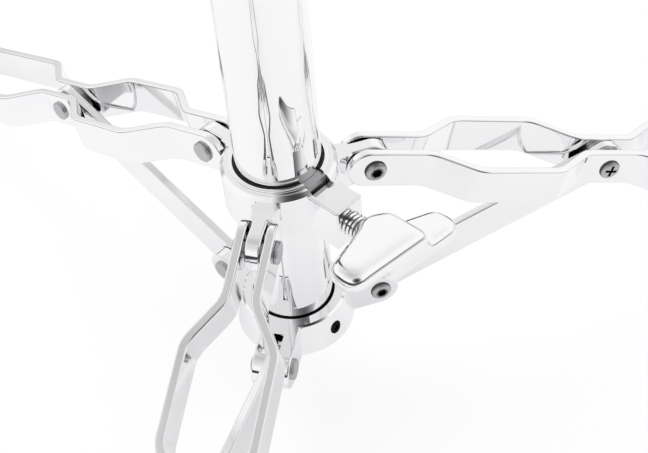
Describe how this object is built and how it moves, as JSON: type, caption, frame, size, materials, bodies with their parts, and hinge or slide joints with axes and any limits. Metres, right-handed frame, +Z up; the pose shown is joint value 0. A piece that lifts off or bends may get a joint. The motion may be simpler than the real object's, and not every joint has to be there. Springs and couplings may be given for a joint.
{
  "type": "snare drum stand",
  "caption": "Folding chrome snare drum stand: tripod of bowed strip legs and flat braces, telescoping tube, tilter and an armed basket with rubber grips.",
  "frame": {"origin": "on the floor, on the axis of the base tube", "axes": "+Z up along the tube; -Y along leg a"},
  "size_m": [0.5458, 0.5174, 0.5781],
  "materials": {
    "tube_chrome": "mirror chrome with faint draw lines",
    "strip_chrome": "chrome over rolled strip",
    "cast_chrome": "chrome over a die casting",
    "steel": "matt plated steel",
    "nylon": "matt",
    "rubber": "matt moulded"
  },
  "bodies": {
    "base": {"base_tube": "tube_chrome", "tube_plug": "nylon", "lower_casting": "cast_chrome", "casting_set_screw": "steel", "brace_pivot_barrels": "steel", "brace_pivot_screws": "steel", "height_clamp": "cast_chrome", "height_bush": "nylon"},
    "brace_a": {"brace_a": "strip_chrome"},
    "brace_b": {"brace_b": "strip_chrome"},
    "brace_c": {"brace_c": "strip_chrome"},
    "leg_a": {"leg_a_strip_left": "strip_chrome", "leg_a_strip_right": "strip_chrome", "leg_a_elbow_barrel": "steel", "leg_a_elbow_screw": "steel", "leg_a_elbow_washers": "steel", "leg_a_foot": "rubber"},
    "leg_b": {"leg_b_strip_left": "strip_chrome", "leg_b_strip_right": "strip_chrome", "leg_b_elbow_barrel": "steel", "leg_b_elbow_screw": "steel", "leg_b_elbow_washers": "steel", "leg_b_foot": "rubber"},
    "leg_c": {"leg_c_strip_left": "strip_chrome", "leg_c_strip_right": "strip_chrome", "leg_c_elbow_barrel": "steel", "leg_c_elbow_screw": "steel", "leg_c_elbow_washers": "steel", "leg_c_foot": "rubber"},
    "collar": {"leg_collar": "cast_chrome", "collar_bush": "nylon", "clamp_shoe": "steel", "leg_pivot_barrels": "steel", "leg_pivot_screws": "steel"},
    "collar_wing": {"collar_wing": "cast_chrome", "collar_stud": "steel"},
    "height_wing": {"height_wing": "cast_chrome", "height_stud": "steel"},
    "height_lock": {"lock_ring": "cast_chrome", "lock_screw": "steel"},
    "mast": {"mast_tube": "tube_chrome", "tilter_neck": "cast_chrome"},
    "tilter": {"tilter_fork": "cast_chrome", "tilt_washers": "nylon", "tilt_bolt": "steel", "basket_post": "steel", "basket_hub": "cast_chrome", "hub_pins": "steel", "post_nut": "steel"},
    "tilt_wing": {"tilt_wing": "cast_chrome"},
    "thrust_ring": {"thrust_ring": "cast_chrome"},
    "basket_nut": {"basket_nut": "cast_chrome", "nut_clip": "steel"},
    "arm_a": {"arm_a": "strip_chrome", "arm_a_grip": "rubber"},
    "arm_b": {"arm_b": "strip_chrome", "arm_b_grip": "rubber"},
    "arm_c": {"arm_c": "strip_chrome", "arm_c_grip": "rubber"}
  },
  "joints": [
    {"name": "brace_c_pivot", "type": "hinge", "parent": "base", "child": "brace_c", "pos_m": [-0.02693, 0.01555, 0.0416], "axis": [0.5, 0.866, 0], "range_deg": [-12, 66]},
    {"name": "leg_c_elbow", "type": "hinge", "parent": "brace_c", "child": "leg_c", "pos_m": [-0.10412, 0.06011, 0.0721], "axis": [-0.5, -0.866, 0], "range_deg": [-24, 132]},
    {"name": "tripod_fold", "type": "hinge", "parent": "base", "child": "brace_a", "pos_m": [0, -0.0311, 0.0416], "axis": [-1, 0, 0], "range_deg": [-12, 66]},
    {"name": "leg_a_elbow", "type": "hinge", "parent": "brace_a", "child": "leg_a", "pos_m": [0, -0.12023, 0.0721], "axis": [1, 0, 0], "range_deg": [-24, 132]},
    {"name": "brace_b_pivot", "type": "hinge", "parent": "base", "child": "brace_b", "pos_m": [0.02693, 0.01555, 0.0416], "axis": [0.5, -0.866, 0], "range_deg": [-12, 66]},
    {"name": "leg_b_elbow", "type": "hinge", "parent": "brace_b", "child": "leg_b", "pos_m": [0.10412, 0.06011, 0.0721], "axis": [-0.5, 0.866, 0], "range_deg": [-24, 132]},
    {"name": "collar_pivot", "type": "hinge", "parent": "leg_a", "child": "collar", "pos_m": [0, -0.0311, 0.1026], "axis": [-1, 0, 0], "range_deg": [-12, 66]},
    {"name": "collar_wing_spin", "type": "hinge", "parent": "collar", "child": "collar_wing", "pos_m": [0.02693, -0.01555, 0.1036], "axis": [0.866, -0.5, 0], "continuous": true},
    {"name": "height_wing_spin", "type": "hinge", "parent": "base", "child": "height_wing", "pos_m": [0.02416, -0.01395, 0.301], "axis": [0.5, 0.866, 0], "continuous": true},
    {"name": "height_slide", "type": "slide", "parent": "base", "child": "height_lock", "axis": [0, 0, 1], "range_m": [-0.0295, 0.1]},
    {"name": "mast_turn", "type": "hinge", "parent": "height_lock", "child": "mast", "pos_m": [0, 0, 0.345], "axis": [0, 0, 1], "continuous": true},
    {"name": "basket_tilt", "type": "hinge", "parent": "mast", "child": "tilter", "pos_m": [0, 0, 0.417], "axis": [1, 0, 0], "range_deg": [-60, 60]},
    {"name": "tilt_wing_spin", "type": "hinge", "parent": "tilter", "child": "tilt_wing", "pos_m": [0.01457, 0, 0.417], "axis": [1, 0, 0], "continuous": true},
    {"name": "thrust_ring_slide", "type": "slide", "parent": "tilter", "child": "thrust_ring", "axis": [0, 0, 1], "range_m": [-0.0066, 0.0022]},
    {"name": "basket_nut_turn", "type": "hinge", "parent": "thrust_ring", "child": "basket_nut", "pos_m": [0, 0, 0.451], "axis": [0, 0, 1], "range_deg": [-1320, 420]},
    {"name": "arm_a_pivot", "type": "hinge", "parent": "tilter", "child": "arm_a", "pos_m": [0, 0.03, 0.46975], "axis": [1, 0, 0], "range_deg": [-8.5, 25.5]},
    {"name": "arm_b_pivot", "type": "hinge", "parent": "tilter", "child": "arm_b", "pos_m": [-0.02598, -0.015, 0.46975], "axis": [-0.5, 0.866, 0], "range_deg": [-8.5, 25.5]},
    {"name": "arm_c_pivot", "type": "hinge", "parent": "tilter", "child": "arm_c", "pos_m": [0.02598, -0.015, 0.46975], "axis": [-0.5, -0.866, 0], "range_deg": [-8.5, 25.5]}
  ],
  "couplings": [
    {"joint": "brace_c_pivot", "follows": "tripod_fold", "ratio": 1},
    {"joint": "leg_c_elbow", "follows": "tripod_fold", "ratio": 2},
    {"joint": "leg_a_elbow", "follows": "tripod_fold", "ratio": 2},
    {"joint": "brace_b_pivot", "follows": "tripod_fold", "ratio": 1},
    {"joint": "leg_b_elbow", "follows": "tripod_fold", "ratio": 2},
    {"joint": "collar_pivot", "follows": "tripod_fold", "ratio": 1},
    {"joint": "thrust_ring_slide", "follows": "basket_nut_turn", "m_per_rad": 0.00027852},
    {"joint": "arm_a_pivot", "follows": "basket_nut_turn", "ratio": -0.018819},
    {"joint": "arm_b_pivot", "follows": "basket_nut_turn", "ratio": -0.018819},
    {"joint": "arm_c_pivot", "follows": "basket_nut_turn", "ratio": -0.018819}
  ]
}
